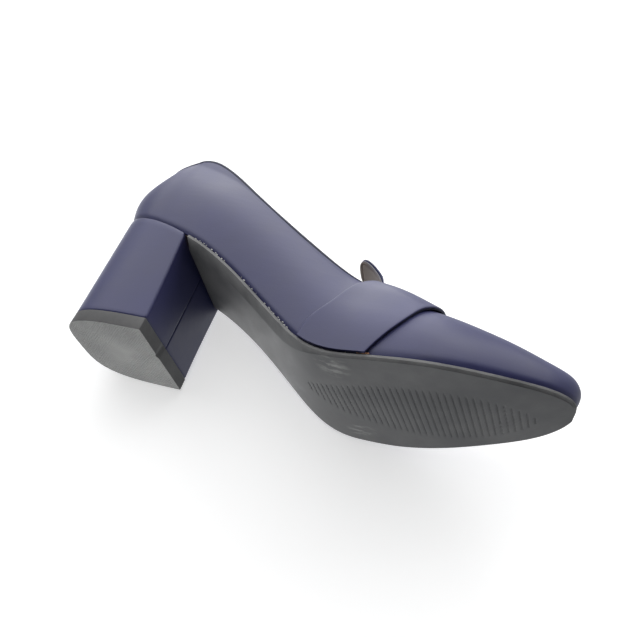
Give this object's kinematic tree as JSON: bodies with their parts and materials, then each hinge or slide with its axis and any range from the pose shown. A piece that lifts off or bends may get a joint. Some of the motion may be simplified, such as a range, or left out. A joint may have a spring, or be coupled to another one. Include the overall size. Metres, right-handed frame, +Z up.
{
  "type": "high heel pump",
  "caption": "Left block-heel loafer pump: navy leather upper with saddle strap and tongue tab, covered block heel with rubber top piece, thin moulded rubber outsole.",
  "frame": {"origin": "on the ground, under the middle of the shoe's bounding box", "axes": "+Z up, the heel towards +Y and the toe towards -Y, the lateral (outer) side towards +X"},
  "size_m": [0.0776, 0.232, 0.1106],
  "materials": {
    "navy_leather": "semi-gloss smooth navy leather",
    "lining": "matt beige lining leather",
    "fibre_board": "brown fibre board",
    "foam": "soft cream foam",
    "sock_leather": "smooth beige sock leather",
    "filler": "cork and glue filler",
    "outsole_rubber": "moulded dark grey rubber",
    "lift_rubber": "ribbed grey top-piece rubber",
    "heel_plastic": "moulded heel plastic",
    "steel": "plain bright steel"
  },
  "bodies": {
    "shoe": {"vamp": "navy_leather", "quarter_medial": "navy_leather", "quarter_lateral": "navy_leather", "strap": "navy_leather", "tongue_root": "navy_leather", "heel_cover": "navy_leather", "vamp_lining": "lining", "quarter_lining_medial": "lining", "quarter_lining_lateral": "lining", "strap_backing": "lining", "toe_puff": "fibre_board", "heel_counter": "fibre_board", "shank_board": "fibre_board", "insole_board": "fibre_board", "bottom_filler": "filler", "sock_cushion": "foam", "sock_lining": "sock_leather", "steel_shank": "steel", "outsole": "outsole_rubber", "heel_block": "heel_plastic", "top_piece": "lift_rubber", "heel_nail_1": "steel", "heel_nail_2": "steel", "heel_nail_3": "steel", "heel_nail_4": "steel", "heel_screw": "steel", "shank_rivet_1": "steel", "shank_rivet_2": "steel", "top_piece_pin_1": "steel", "top_piece_pin_2": "steel"},
    "tongue": {"tongue_flap": "navy_leather", "tongue_flap_lining": "navy_leather"}
  },
  "joints": [
    {"name": "tongue_flex", "type": "hinge", "parent": "shoe", "child": "tongue", "pos_m": [-0.00325, -0.0283, 0.0552], "axis": [1, 0, 0], "range_deg": [-15, 15], "stiffness_Nm_per_rad": 0.02}
  ]
}
